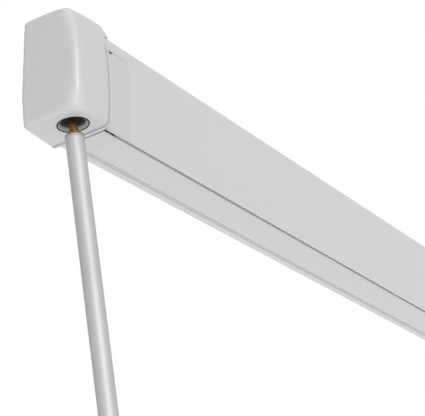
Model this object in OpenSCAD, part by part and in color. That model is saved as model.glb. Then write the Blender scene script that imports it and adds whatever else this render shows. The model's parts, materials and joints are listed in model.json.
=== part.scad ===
// Roll out awning for a camper: a wall cassette with a fabric roller, two folding arms,
// a lead rail that carries two telescopic legs, and a hand crank. Millimetres.
// +X runs along the length with the crank at the -X end, -Y points out from the wall, +Z is up.
// The origin is on the back of the middle wall bracket.

/* [Overall] */
// length over both end caps
total_length = 2590; // [2500:10:2800]
// length of one end cap
cap_length = 65; // [63:0.5:68]
// wall of the aluminium profiles
profile_wall = 2; // [1.6:0.1:2.4]
// tilt of the underside and of the crank's axis
tilt = 7.2; // [6.5:0.1:8]
// gap between the wall and the back of the housing
wall_gap = 8; // [8:0.5:10]

/* [Roller and fabric] */
// outside diameter of the roller tube
roller_d = 38; // [37:0.5:39]
// wall of the roller tube
roller_wall = 1.5; // [1.2:0.1:2]
// height of the roller's axis in the frame
roller_z = 28; // [27:0.5:29]
// outside diameter of the wound fabric
roll_d = 51.2; // [50:0.2:52]
// thickness of the fabric
fabric_t = 0.45; // [0.4:0.05:0.6]
// bare length of roller tube beside the fabric, at each end
fabric_edge = 10; // [8:1:20]
// gap between the roller tube and each end of the housing
roller_end_gap = 20; // [18:1:24]
// diameter of the journals at the roller's ends
journal_d = 20; // [18:0.5:21]
// width across the square end that drives the roller
drive_square = 11; // [10:0.5:12]

/* [Arms] */
// width and height of an arm tube
arm_size = 24; // [22:0.5:24]
// wall of an arm tube
arm_wall = 1.8; // [1.5:0.1:2.2]
// gap between the two links of a folded arm
arm_gap = 6; // [5:0.5:7]
// distance of the shoulder pivot from the cap
shoulder_inset = 90; // [85:1:110]
// distance of the elbow pivot from the middle of the awning
elbow_inset = 55; // [52:1:70]
// diameter of the shoulder and wrist pins
shoulder_pin_d = 9; // [8:0.5:10]
// diameter of the elbow pin
elbow_pin_d = 10; // [9:0.5:12]
// diameter of the elbow bosses
elbow_boss_d = 26; // [24:0.5:28]
// diameter of the tension spring in an upper arm
spring_d = 16; // [14:0.5:17]
// diameter of the hollow in the spring
spring_bore = 11; // [10:0.5:12]

/* [Lead rail] */
// distance of the rail's front face before the crank eye
rail_front = 19.5; // [18:0.5:21]
// gap between the rail and each end cap
rail_gap = 3; // [2:0.5:4]
// length of the plastic piece at each end of the rail
rail_end_len = 57; // [50:1:62]
// height of the rail's top above the housing's underside of the top wall
rail_top_lip = 1.5; // [1:0.1:1.8]
// diameter of the hem cord
hem_d = 5.9; // [5.5:0.1:6]
// distance of the groove under the rail behind the crank eye
groove_back = 34.8; // [34:0.2:36]
// width of the groove between the rail and the housing's rim
groove_w = 1; // [0.8:0.1:2]
// width of the housing's rim behind the groove
rim_w = 7.9; // [7:0.1:9]

/* [Legs] */
// width of a leg's outer tube
leg_w = 45.4; // [43:0.1:46]
// thickness of a leg's outer tube
leg_t = 13; // [12.6:0.2:13.4]
// wall of a leg's outer tube
leg_wall = 1.8; // [1.6:0.1:1.9]
// distance of a leg's pivot from the end of the rail
leg_inset = 20; // [19:0.5:24]
// length of inner tube that shows between the collar and the foot's pin
inner_show = 26; // [24:1:30]
// gap between a stowed foot and the middle of the awning
foot_gap = 2; // [2:0.5:6]
// length of the collar at the end of the outer tube
collar_len = 44; // [40:1:50]
// thickness of a leg's inner tube
inner_t = 7.4; // [7:0.1:7.6]
// wall of a leg's inner tube
inner_wall = 1.4; // [1.2:0.1:1.8]
// diameter of the leg's hinge pin
leg_pin_d = 5; // [4.5:0.1:5.4]
// length of a foot
foot_len = 58; // [50:1:64]

/* [Crank and gear] */
// diameter of the crank tube
crank_d = 22; // [21:0.5:24]
// wall of the crank tube
crank_wall = 1.4; // [1.2:0.1:1.8]
// length of the crank tube
crank_len = 1163.5; // [1000:0.5:1300]
// depth of the plugs in the ends of the crank tube
crank_plug = 40; // [35:1:50]
// diameter of the brass stem
stem_d = 11; // [10.5:0.5:12]
// length of stem that shows under the eye
stem_show = 15.5; // [15:0.5:24]
// width across the flats of the hex tip
hex_w = 9; // [8:0.5:9.5]
// reach of the crank's arm
crank_reach = 180; // [150:5:190]
// length of the turning sleeve
sleeve_len = 130; // [110:5:150]
// diameter of the worm at its pitch line
worm_pitch_d = 14; // [13.8:0.1:14.2]
// diameter of the worm wheel at its pitch line
wheel_pitch_d = 24; // [23.8:0.1:24.2]
// width of the worm wheel
wheel_w = 9; // [8:0.5:10]
// diameter of the worm shaft's socket end
shaft_d = 15; // [14.5:0.5:16]
// diameter of the worm shaft inside the worm
spindle_d = 6; // [5.5:0.5:6.5]

/* [End caps] */
// wall of an end cap
cap_wall = 2.6; // [2.2:0.1:3]
// reach of a cap in front of the rail
cap_nose = 11.3; // [10.5:0.1:12]
// rise of a cap above the housing
cap_rise = 15; // [14:0.5:17]
// distance of the crank eye from the cap's outer end
eye_inset = 32.4; // [31.8:0.2:34]
// height of the cap's nose, its widest line, above the eye
nose_low = 32; // [30:1:36]
// height above the eye where the cap's front begins to fall back
nose_high = 104; // [100:1:106]
// outside diameter of the eye bush
eye_d = 38; // [37:0.5:39]
// thickness of the end plates
plate_t = 6; // [5:0.5:7]

/* [Wall brackets] */
// width of a wall bracket
bracket_w = 120; // [110:5:150]
// thickness of a wall bracket
bracket_t = 5; // [4:0.5:6]
// distance of the outer brackets from the ends of the awning
bracket_inset = 395; // [300:5:500]
// diameter of the wall screw holes
wall_hole_d = 6.6; // [6:0.2:8]
// distance between the two wall screw holes of a bracket
wall_hole_pitch = 84; // [80:2:90]
// diameter of the bolts that hold the housing
bolt_d = 6; // [5:0.5:6]

/* [Fits] */
// radial clearance of a turning fit
run_fit = 0.05; // [0.03:0.01:0.08]
// clearance around a piece fixed in another
fix_fit = 0.05; // [0.03:0.01:0.08]
// gap between pieces that pass each other
pass_gap = 0.3; // [0.25:0.05:0.4]

/* [Hidden] */
$fn = 64;

eps = 0.01;
alu = "#d6d8da";
cap_grey = "#dcdde0";
cast = "#b9bcc0";
steel = "#8d9196";
brass = "#a98450";
cloth = "#9aa3aa";
dark = "#3b3d40";

// places along X
half = total_length / 2;
joint_x = half - cap_length;
plate_x = joint_x + plate_t;
eye_x = -(half - eye_inset);
rail_x = joint_x - rail_gap;
rail_end_wall = 2;
rail_alu_x = rail_x - rail_end_wall - pass_gap;
shoulder_x = joint_x - shoulder_inset;
leg_x = rail_x - leg_inset;
leg_len = leg_x - foot_gap - foot_len - inner_show - collar_len;
foot_pivot = leg_len + collar_len + inner_show;
bracket_x = half - bracket_inset;
roller_x = joint_x - roller_end_gap;
fabric_w = 2 * (roller_x - fabric_edge);

// heights, stacked from the roller down: roller, arms, rail shelf, right leg, left leg
roll_r = roll_d / 2;
stack_gap = 3.4;
top_in = roller_z + roll_r + 2.4;
top_z = top_in + profile_wall;
arm_top = roller_z - roll_r - stack_gap;
arm_bottom = arm_top - arm_size;
arm_z = arm_top - arm_size / 2;
shelf_top = arm_bottom - 3;
shelf_bottom = shelf_top - profile_wall;
leg_top_right = shelf_bottom - 1;
leg_top_left = leg_top_right - leg_t - 2;
leg_pivot_right = leg_top_right - leg_t / 2;
leg_pivot_left = leg_top_left - leg_t / 2;
eye_z = leg_top_left - 14;

// the crank's axis passes the roller's axis at the gear's centre distance
gear_a = (worm_pitch_d + wheel_pitch_d) / 2;
back_y = -wall_gap;
back_in = back_y - profile_wall;
roller_y = back_in - 1.5 - roll_r;
mesh_s = (roller_z - eye_z + gear_a * sin(tilt)) / cos(tilt);
eye_y = roller_y - gear_a * cos(tilt) - mesh_s * sin(tilt);

// depths from the wall
front_y = eye_y - rail_front;
front_in = front_y + profile_wall + 0.2;
groove_y = eye_y + groove_back;
rim_y = groove_y + groove_w / 2;
lip_y = groove_y - groove_w / 2;
lip_in = lip_y - 1.8;
rim_back_y = groove_y + rim_w;
upper_y = back_in - 3 - arm_size / 2;
fore_y = upper_y - arm_size - arm_gap;
elbow_y = (upper_y + fore_y) / 2;
leg_back = 1.4;
lip_back = 12;
lip_gap = 3;
lip_rise = 2.5;
end_sink = 0.9;
end_raise = 0.4;
flange_t = 1.5;
leg_y = (front_in + lip_in) / 2 + leg_back;
inner_w = leg_w - 5;
hem_y = front_in + 6.4;
hem_z = top_in - 8;

// height of the sloping underside at a depth y
function under_z(y) = eye_z - (y - eye_y) * tan(tilt);

// shared shapes
module box(x0, x1, y0, y1, z0, z1) {
    translate([x0, y0, z0]) cube([x1 - x0, y1 - y0, z1 - z0]);
}
module xcyl(x0, x1, y, z, d) {
    translate([x0, y, z]) rotate([0, 90, 0]) cylinder(h = x1 - x0, d = d);
}
module ycyl(x, y0, y1, z, d) {
    translate([x, y1, z]) rotate([90, 0, 0]) cylinder(h = y1 - y0, d = d);
}
module zcyl(x, y, z0, z1, d) {
    translate([x, y, z0]) cylinder(h = z1 - z0, d = d);
}
// a section in the YZ plane, run along X
module along_x(x0, x1) {
    translate([x0, 0, 0]) rotate([90, 0, 90]) linear_extrude(x1 - x0) children();
}
// the crank's own frame: origin at the eye, +z up the crank's axis, +y towards the wall
module crank_frame() {
    translate([eye_x, eye_y, eye_z]) rotate([-tilt, 0, 0]) children();
}
module flip(side) {
    mirror([side > 0 ? 1 : 0, 0, 0]) children();
}

// Housing: back, top with the hook rib, rear rim, and a screw port at each end corner
port_y = back_in - 3;
port_z = [top_in - 9, shelf_bottom - 19];
port_d = 8;
port_bore = 4.2;
port_depth = 40;
rib_h = 4.4;
rib_w = 2;
top_front = front_in + 17;
module housing_section() {
    low_back = under_z(rim_back_y) + 10.5;
    polygon([[top_front, top_z], [back_y - rib_w, top_z], [back_y - rib_w, top_z + rib_h],
        [back_y, top_z + rib_h], [back_y, low_back], [rim_back_y, under_z(rim_back_y)],
        [rim_y, under_z(rim_y)], [rim_y, under_z(rim_y) + profile_wall],
        [rim_back_y - 0.8, under_z(rim_back_y) + profile_wall + 0.2],
        [back_in, low_back + 1], [back_in, top_in], [top_front, top_in]]);
}
bolt_z = shelf_bottom - 10;
module housing() {
    color(alu) difference() {
        union() {
            along_x(-joint_x, joint_x) housing_section();
            for (z = port_z) xcyl(-joint_x, joint_x, port_y, z, port_d);
        }
        for (z = port_z, s = [-1, 1])
            xcyl(s > 0 ? joint_x - port_depth : -joint_x - eps,
                s > 0 ? joint_x + eps : -joint_x + port_depth, port_y, z, port_bore);
        for (c = [-1, 0, 1], s = [-1, 1])
            ycyl(c * bracket_x + s * bolt_in, back_in - eps, back_y + eps, bolt_z, bolt_d + 0.4);
    }
}

// End caps: a rounded shell that covers the end plate and, on the left, the gearbox
cap_front_r = 9;
cap_foot_r = 20;
cap_side_r = 5;
cap_low_r = 8;
cap_top_r = 6;
cap_heel_r = 4;
cap_slant = 28;
cap_back_y = back_y + 1;
cap_drop = 1.2;
cap_top = top_z + cap_rise;
side_top = cap_top - 7.5;
back_low = eye_z + 9;
module cap_ring(x, y, z, r, edge) {
    translate([x, y, z]) rotate_extrude($fn = 32) intersection() {
        translate([r - edge, 0]) circle(edge, $fn = 32);
        translate([0, -edge]) square([r, 2 * edge]);
    }
}
// height of a low ring's centre, so that the underside lies cap_drop under the rail's
function low_ring_z(y, r, edge) = under_z(y) - cap_drop + ((r - edge) * sin(tilt) + edge) / cos(tilt);
// front face depths from the foot up: the nose bulges low and falls back towards the top
function nose_y(level) = front_y - cap_nose + [0.8, 0, 0.6, 2.4, 5.4, 14.5][level];
function nose_z(level) = eye_z + [0, nose_low, nose_low + 34, nose_high - 16, nose_high][level];
// back edge of the side face at the foot, at the nose's height and at the top
function side_y(level) = eye_y + [45.3, 48, 45][level];
// back of the underside where the cap meets the housing
heel_y = eye_y + 54;
foot_mid = nose_y(0) + cap_foot_r;
side_foot = side_y(0) - cap_side_r;
heel_mid = heel_y - cap_side_r;
// rings that the cap is wrapped round: distance from the outer end, depth and height of the middle,
// radius, radius of the edge
cap_rings = concat(
    [[cap_foot_r, foot_mid, low_ring_z(foot_mid, cap_foot_r, cap_low_r), cap_foot_r, cap_low_r]],
    [for (k = [1:4]) [cap_front_r, nose_y(k) + cap_front_r, nose_z(k), cap_front_r, 1]],
    [[cap_front_r, nose_y(5) + cap_front_r, cap_top - cap_top_r, cap_front_r, cap_top_r],
        [cap_side_r, side_foot, low_ring_z(side_foot, cap_side_r, cap_heel_r), cap_side_r, cap_heel_r],
        [cap_side_r, side_y(1) - cap_side_r, nose_z(1), cap_side_r, 1],
        [cap_side_r, side_y(2) - cap_side_r, side_top - cap_heel_r, cap_side_r, cap_heel_r],
        [cap_slant + cap_side_r, cap_back_y - cap_side_r, back_low, cap_side_r, 1],
        [cap_slant + cap_side_r, cap_back_y - cap_side_r, side_top - 2 - cap_heel_r, cap_side_r, cap_heel_r]]);
module cap_body(inset) {
    hull() {
        for (x = [-half, -joint_x + 30 - cap_slant], ring = cap_rings)
            cap_ring(x + ring[0], ring[1], ring[2], ring[3] - inset, ring[4] > 1 ? ring[4] - inset : 1);
        cap_ring(-joint_x + cap_side_r, heel_mid, low_ring_z(heel_mid, cap_side_r, cap_heel_r),
            cap_side_r - inset, cap_heel_r - inset);
    }
}
module cap_shell() {
    difference() {
        cap_body(0);
        cap_body(cap_wall);
        box(-joint_x, -joint_x + 2 * cap_length, front_y - cap_length, cap_length, -cap_top - cap_length,
            cap_top + cap_length);
    }
}
eye_hole_d = eye_d - 4;
module left_end_cap() {
    color(cap_grey) difference() {
        cap_shell();
        crank_frame() translate([0, 0, -12]) cylinder(h = 30, d = eye_hole_d);
    }
}
module right_end_cap() {
    color(cap_grey) flip(1) cap_shell();
}

// End plates: carry the roller's journals, screwed to the housing's ports
module end_plate() {
    z0 = port_z[1] - 7;
    plate_back = cap_back_y - cap_wall - pass_gap;
    corner = 7;
    plate_cut = 3.5;
    color(cast) difference() {
        along_x(-plate_x, -joint_x)
            polygon([[eye_y + 4, roller_z - 26], [back_in - 22, roller_z - 26], [back_in - 22, z0],
                [plate_back - plate_cut, z0], [plate_back, z0 + 2 * plate_cut], [plate_back, top_in - corner], [plate_back - corner, top_in],
                [eye_y + 4, top_in]]);
        xcyl(-plate_x - 1, -joint_x + 1, roller_y, roller_z, journal_d + 2 * run_fit);
        for (z = port_z) xcyl(-plate_x - 1, -joint_x + 1, port_y, z, port_bore);
    }
}
module left_end_plate() { end_plate(); }
module right_end_plate() { flip(1) end_plate(); }

// Gearbox: a block along the crank's axis with a wheel chamber, a worm chamber and three bores
gear_out = 12.5;
gear_in = -plate_x - eye_x;
gear_low = 26;
worm_half = 12;
chamber_half = worm_half + 1.5;
gear_high = mesh_s + chamber_half + 9;
wheel_tip_d = wheel_pitch_d + 4;
worm_tip_d = worm_pitch_d + 4;
module gearbox() {
    color(cast) crank_frame() difference() {
        box(-gear_out, gear_in, -14, gear_a + wheel_tip_d / 2 + 4, gear_low, gear_high);
        translate([0, gear_a, mesh_s]) {
            xcyl(-gear_out - 1, wheel_w / 2 + 2.5, 0, 0, wheel_tip_d + 2);
            xcyl(0, gear_in + 1, 0, 0, journal_d + 2 * run_fit);
        }
        zcyl(0, 0, mesh_s - chamber_half, mesh_s + chamber_half, worm_tip_d + 1.2);
        zcyl(0, 0, gear_low - 1, mesh_s, shaft_d + 2 * run_fit);
        zcyl(0, 0, mesh_s, gear_high + 1, spindle_d + 2 * run_fit);
        translate([0, gear_a, mesh_s])
            box(wheel_w / 2, gear_in + 1, port_block, wheel_tip_d, worm_half, gear_high);
    }
}
port_block = 5;

// Eye bush: a bevelled ring in the cap's underside round the crank's socket
module eye_bush() {
    flange = eye_d / 2;
    body = eye_hole_d / 2 - fix_fit;
    throat = 13.2;
    seat = -cap_drop * cos(tilt);
    color(dark) crank_frame() rotate_extrude()
        polygon([[flange, seat], [flange, seat - 0.6], [flange - 0.8, seat - 1.2],
            [flange - 2, seat - 1.2], [throat, 4], [throat, 15], [body, 15], [body, seat]]);
}

// Wall brackets: a plate on the wall, a hook over the housing's rib and a pad for two bolts
bracket_low = bolt_z - 8;
bracket_rise = 34;
hole_rise = 24;
bracket_high = top_z + bracket_rise;
wall_hole_z = top_z + hole_rise;
bolt_in = 35;
hook_t = 3;
module wall_bracket(x) {
    rib_top = top_z + rib_h;
    hook_y = back_y - rib_w - pass_gap - hook_t;
    color(cast) difference() {
        union() {
            box(x - bracket_w / 2, x + bracket_w / 2, -bracket_t, 0, bracket_low, bracket_high);
            box(x - bracket_w / 2, x + bracket_w / 2, hook_y, -eps, rib_top, rib_top + hook_t);
            box(x - bracket_w / 2, x + bracket_w / 2, hook_y, hook_y + hook_t,
                top_z + pass_gap, rib_top + eps);
            box(x - bracket_w / 2, x + bracket_w / 2, back_y, -eps, bracket_low, bolt_z + 8);
        }
        for (s = [-1, 1]) {
            ycyl(x + s * wall_hole_pitch / 2, -bracket_t - 1, 1, wall_hole_z, wall_hole_d);
            ycyl(x + s * bolt_in, back_y - 1, 1, bolt_z, bolt_d + 2 * fix_fit);
        }
    }
}
module wall_bracket_left() { wall_bracket(-bracket_x); }
module wall_bracket_middle() { wall_bracket(0); }
module wall_bracket_right() { wall_bracket(bracket_x); }
module bracket_bolts() {
    color(steel) for (c = [-1, 0, 1], s = [-1, 1]) {
        x = c * bracket_x + s * bolt_in;
        ycyl(x, back_in - 4, back_in, bolt_z, bolt_d + 4);
        ycyl(x, back_in - eps, -1, bolt_z, bolt_d);
    }
}

// Roller: tube, plugs with journals, worm wheel on the square end, wound fabric
plug_len = 32;
plug_flange = 3;
wheel_stop = wheel_w / 2 + 1.5;
module roller_tube() {
    color(alu) difference() {
        xcyl(-roller_x, roller_x, roller_y, roller_z, roller_d);
        xcyl(-roller_x - 1, roller_x + 1, roller_y, roller_z, roller_d - 2 * roller_wall);
    }
}
module roller_plug(journal_end) {
    xcyl(-roller_x, -roller_x + plug_len, roller_y, roller_z, roller_d - 2 * roller_wall - 2 * fix_fit);
    xcyl(-roller_x - plug_flange, -roller_x, roller_y, roller_z, roller_d);
    xcyl(journal_end, -roller_x - plug_flange + eps, roller_y, roller_z, journal_d);
}
module roller_drive_plug() {
    s = drive_square / 2;
    color(cast) union() {
        roller_plug(eye_x + wheel_stop);
        translate([0, roller_y, roller_z]) rotate([-tilt, 0, 0])
            box(eye_x - wheel_w / 2 - 2, eye_x + wheel_stop + eps, -s, s, -s, s);
    }
}
module roller_idle_plug() {
    color(cast) flip(1) roller_plug(-plate_x - 12);
}
module fabric_roll() {
    color(cloth) difference() {
        xcyl(-fabric_w / 2, fabric_w / 2, roller_y, roller_z, roll_d);
        xcyl(-fabric_w / 2 - 1, fabric_w / 2 + 1, roller_y, roller_z, roller_d + 2 * fix_fit);
    }
}

// Worm and wheel: two starts drive twelve teeth, so six turns of the crank turn the roller once
starts = 2;
teeth = 12;
pitch = PI * wheel_pitch_d / teeth;
lead = starts * pitch;
lead_angle = atan(lead / (PI * worm_pitch_d));
tooth_share = 0.35;
// a tooth's half width in degrees of the worm's turn at a depth from -1 (root) to 1 (tip)
function thread_half(depth) = 180 * (tooth_share * pitch - 0.9 * depth) / lead;
worm_section = [for (k = [0:starts - 1]) each [
    for (p = [[-1, -1], [1, -1], [1, 0], [1, 1], [-1, 1], [-1, 2], [-1, 3]])
        let (a = k * 360 / starts + (p[1] > 1 ? 60 + (p[1] - 2) * 60 : p[1] * thread_half(p[0])),
            r = worm_pitch_d / 2 + 2 * p[0])
        [r * cos(a), r * sin(a)]]];
module worm() {
    turn = 360 * 2 * worm_half / lead;
    color(steel) crank_frame() translate([0, 0, mesh_s - worm_half]) difference() {
        rotate([0, 0, 90 - turn / 2])
            linear_extrude(2 * worm_half, twist = -turn, slices = 48, segments = 0) polygon(worm_section);
        translate([0, 0, -1]) cylinder(h = 2 * worm_half + 2, d = spindle_d + 2 * fix_fit);
    }
}
wheel_section = [for (k = [0:teeth - 1], p = [[-1, -1], [1, -1], [1, 1], [-1, 1]])
    let (half_w = 180 * (tooth_share * pitch - 0.9 * p[0]) / (PI * wheel_pitch_d),
        a = (k + 0.5) * 360 / teeth + p[1] * half_w, r = wheel_pitch_d / 2 + 2 * p[0])
    [r * cos(a), r * sin(a)]];
module worm_wheel() {
    turn = wheel_w * tan(lead_angle) / (wheel_pitch_d / 2) * 180 / PI;
    s = drive_square / 2 + fix_fit;
    color(brass) crank_frame() translate([0, gear_a, mesh_s]) difference() {
        translate([-wheel_w / 2, 0, 0]) rotate([0, 90, 0]) rotate([0, 0, -90 - turn / 2])
            linear_extrude(wheel_w, twist = -turn, slices = 6, segments = 0) polygon(wheel_section);
        box(-wheel_w, wheel_w, -s, s, -s, s);
    }
}
shaft_low = 6;
socket_depth = 26;
module worm_shaft() {
    color(steel) crank_frame() difference() {
        union() {
            zcyl(0, 0, shaft_low, mesh_s - worm_half, shaft_d);
            zcyl(0, 0, mesh_s - worm_half - eps, gear_high, spindle_d);
        }
        translate([0, 0, shaft_low - 1])
            cylinder(h = socket_depth + 1, d = (hex_w + pass_gap) / cos(30), $fn = 6);
    }
}

// Crank: brass tip, tube, knuckle, folding arm, spindle and sleeve, all in the crank's frame
tube_top = -stem_show - 1.5;
tube_low = tube_top - crank_len;
fold_z = tube_low - 16;
knuckle_d = 18;
fold_pin_d = 8;
tongue_w = 12;
ear_w = 5;
grip_d = 10;
module crank_tip() {
    plug_d = crank_d - 2 * crank_wall - 2 * fix_fit;
    color(brass) crank_frame() {
        translate([0, 0, 2 - eps])
            cylinder(h = shaft_low + socket_depth - 6, d = hex_w / cos(30), $fn = 6);
        zcyl(0, 0, -stem_show, 2, stem_d);
        zcyl(0, 0, tube_top, -stem_show + eps, crank_d);
        zcyl(0, 0, tube_top - crank_plug, tube_top + eps, plug_d);
    }
}
module crank_tube() {
    color(alu) crank_frame() difference() {
        zcyl(0, 0, tube_low, tube_top, crank_d);
        zcyl(0, 0, tube_low - 1, tube_top + 1, crank_d - 2 * crank_wall);
    }
}
module crank_knuckle() {
    ear_in = tongue_w / 2 + pass_gap;
    color(dark) crank_frame() {
        zcyl(0, 0, tube_low - eps, tube_low + crank_plug, crank_d - 2 * crank_wall - 2 * fix_fit);
        zcyl(0, 0, tube_low - 5, tube_low, crank_d + 2);
        for (s = [-1, 1]) {
            x0 = s > 0 ? ear_in : -ear_in - ear_w;
            box(x0, x0 + ear_w, -knuckle_d / 2, knuckle_d / 2, fold_z, tube_low - 5 + eps);
            xcyl(x0, x0 + ear_w, 0, fold_z, knuckle_d);
        }
        xcyl(-ear_in - eps, ear_in + eps, 0, fold_z, fold_pin_d);
    }
}
module crank_arm() {
    color(dark) crank_frame() difference() {
        union() {
            xcyl(-tongue_w / 2, tongue_w / 2, 0, fold_z, knuckle_d);
            box(-tongue_w / 2, tongue_w / 2, 0, 24, fold_z - 8, fold_z + 8);
            ycyl(0, 20, crank_reach, fold_z, 16);
            zcyl(0, crank_reach, fold_z - 12, fold_z + 10, 22);
        }
        xcyl(-tongue_w, tongue_w, 0, fold_z, fold_pin_d + 2 * run_fit);
        zcyl(0, crank_reach, fold_z - 13, fold_z + 6, grip_d + 2 * fix_fit);
    }
}
sleeve_top = fold_z - 13;
module crank_spindle() {
    color(steel) crank_frame() {
        zcyl(0, crank_reach, sleeve_top - sleeve_len - 1, fold_z + 6, grip_d);
        zcyl(0, crank_reach, sleeve_top - sleeve_len - 5, sleeve_top - sleeve_len - 1 + eps, grip_d + 8);
    }
}
module crank_sleeve() {
    color(dark) crank_frame() translate([0, crank_reach, sleeve_top - sleeve_len - 0.5]) difference() {
        rotate_extrude() polygon([[0, 0], [12, 0], [14, 4], [12.5, sleeve_len / 2],
            [14, sleeve_len - 4], [12, sleeve_len], [0, sleeve_len]]);
        translate([0, 0, -1]) cylinder(h = sleeve_len + 2, d = grip_d + 2 * run_fit);
    }
}

// Fabric between the roll and the rail, and its hem cord in the rail's groove
hem_tail = 6;
run_back = roller_y - 2;
run_front = hem_y + hem_d / 2 + hem_tail + pass_gap;
module fabric_run() {
    z0 = roller_z + roll_r + pass_gap;
    color(cloth) along_x(-fabric_w / 2, fabric_w / 2)
        polygon([[run_back, z0], [run_front, hem_z], [run_front, hem_z + fabric_t],
            [run_back, z0 + fabric_t]]);
}
module fabric_hem() {
    color(cloth) {
        xcyl(-fabric_w / 2, fabric_w / 2, hem_y, hem_z, hem_d);
        box(-fabric_w / 2, fabric_w / 2, hem_y, hem_y + hem_d / 2 + hem_tail, hem_z, hem_z + fabric_t);
    }
}

// Lead rail: front wall, top lip, hem groove, shelf and rear lip round the legs' channel
hem_ring = hem_d + 2 * fix_fit + 4;
end_piece_top = top_z - 13;
module rail_section() {
    wall = front_in - front_y;
    translate([front_y, under_z(front_y)]) square([wall, top_z - 0.5 - under_z(front_y)]);
    translate([front_y, top_z - 0.5 - rail_top_lip]) square([top_front - 1.5 - front_y, rail_top_lip]);
    translate([front_in - eps, shelf_bottom]) square([lip_y - front_in + eps, profile_wall]);
    lip_low = under_z(lip_in) + lip_rise;
    translate([lip_in, lip_low]) square([lip_y - lip_in, shelf_top - lip_low]);
    difference() {
        union() {
            translate([hem_y, hem_z]) circle(d = hem_ring);
            translate([front_in - eps, hem_z - 1]) square([4, profile_wall]);
        }
        translate([hem_y, hem_z]) circle(d = hem_d + 2 * fix_fit);
        translate([hem_y, hem_z - 1]) square([hem_ring, 2]);
    }
}
end_round = 12;
// outline of the plastic front piece, larger by grow, from a depth y0 to the rail's inside
module end_front(grow, y0) {
    x0 = -rail_x - 3 * grow;
    x1 = -rail_x + rail_end_len - pass_gap + grow;
    z0 = under_z(front_y) - 3 * grow;
    z1 = end_piece_top - pass_gap + grow;
    r = end_round + grow;
    box(x0, x1 - r, y0, front_in, z0, z1);
    box(x0, x1, y0, front_in, z0, z1 - r);
    ycyl(x1 - r, y0, front_in, z1 - r, 2 * r);
}
module lead_rail() {
    color(alu) difference() {
        along_x(-rail_alu_x, rail_alu_x) rail_section();
        for (s = [-1, 1]) flip(s)
            end_front(pass_gap, front_y - 1);
    }
}
// Rail end: the plastic front piece with the wall that closes the rail's end
end_notch = [10, 9, 3.2];
module rail_end() {
    notch_x = -rail_x + end_notch[0];
    color(cap_grey) {
        difference() {
            end_front(0, front_y + end_sink);
            box(notch_x, notch_x + end_notch[1], front_y - 1, front_in + 1, end_piece_top - end_notch[2],
                end_piece_top + 1);
        }
        box(-rail_x, -rail_x + rail_end_wall, front_in - eps, roller_y - journal_d / 2 - 2,
            shelf_bottom, end_piece_top - 8);
        box(-rail_x, -rail_x + rail_end_wall, front_in - eps, lip_in, shelf_bottom, arm_top);
        along_x(-rail_x, -rail_x + rail_end_wall) polygon([[front_in - eps, shelf_bottom + eps],
            [front_in - eps, under_z(front_in) + end_raise], [lip_in, under_z(lip_in) + end_raise],
            [lip_in, shelf_bottom + eps]]);
        along_x(-rail_x + rail_end_wall - eps, -leg_x - lip_back - lip_gap)
            polygon([[front_in - eps, under_z(front_in) + end_raise + flange_t],
                [front_in - eps, under_z(front_in) + end_raise], [lip_in, under_z(lip_in) + end_raise],
                [lip_in, under_z(lip_in) + end_raise + flange_t]]);
    }
}
module left_rail_end() { rail_end(); }
module right_rail_end() { flip(1) rail_end(); }

// Arm pivots: brackets with two ears and a fixed pin
ear_low = arm_bottom - 2;
knuckle_low = arm_bottom + 3;
knuckle_high = arm_top - 3;
ear_high = arm_top + 1.5;
boss_d = 22;
module pivot_ears(y, y_root, low) {
    y0 = min(y, y_root);
    y1 = max(y, y_root);
    for (z = [[low, knuckle_low - pass_gap], [knuckle_high + pass_gap, ear_high]]) {
        box(-shoulder_x - boss_d / 2, -shoulder_x + boss_d / 2, y0, y1, z[0], z[1]);
        zcyl(-shoulder_x, y, z[0], z[1], boss_d);
    }
    zcyl(-shoulder_x, y, low, ear_high, shoulder_pin_d);
}
module shoulder_bracket() {
    web = upper_y + boss_d / 2 + 0.5;
    color(cast) {
        box(-shoulder_x - 16, -shoulder_x + 16, web, back_in, ear_low, ear_high);
        pivot_ears(upper_y, web + eps, ear_low);
    }
}
module left_shoulder_bracket() { shoulder_bracket(); }
module right_shoulder_bracket() { flip(1) shoulder_bracket(); }
module wrist_bracket() {
    web = fore_y - boss_d / 2 - 2;
    color(cast) {
        box(-shoulder_x - 16, -shoulder_x + 16, front_in, web, shelf_top, ear_high);
        pivot_ears(fore_y, web - eps, shelf_top);
    }
}
module left_wrist_bracket() { wrist_bracket(); }
module right_wrist_bracket() { flip(1) wrist_bracket(); }

// Arm links: a square tube between two castings
knuckle_len = 45;
casting_plug = 35;
elbow_len = 45;
fork_t = 6;
tube_x0 = -shoulder_x + knuckle_len;
tube_x1 = -elbow_inset - elbow_len;
module arm_tube(y) {
    h = arm_size / 2;
    w = h - arm_wall;
    color(alu) difference() {
        box(tube_x0, tube_x1, y - h, y + h, arm_z - h, arm_z + h);
        box(tube_x0 - 1, tube_x1 + 1, y - w, y + w, arm_z - w, arm_z + w);
    }
}
module arm_plug(x0, x1, y) {
    w = arm_size / 2 - arm_wall - fix_fit;
    box(x0, x1, y - w, y + w, arm_z - w, arm_z + w);
}
module arm_knuckle(y) {
    color(cast) difference() {
        union() {
            zcyl(-shoulder_x, y, knuckle_low, knuckle_high, boss_d - 0.6);
            box(-shoulder_x, tube_x0, y - 9, y + 9, knuckle_low, knuckle_high);
            arm_plug(tube_x0 - eps, tube_x0 + casting_plug, y);
        }
        zcyl(-shoulder_x, y, knuckle_low - 1, knuckle_high + 1, shoulder_pin_d + 2 * run_fit);
    }
}
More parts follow.
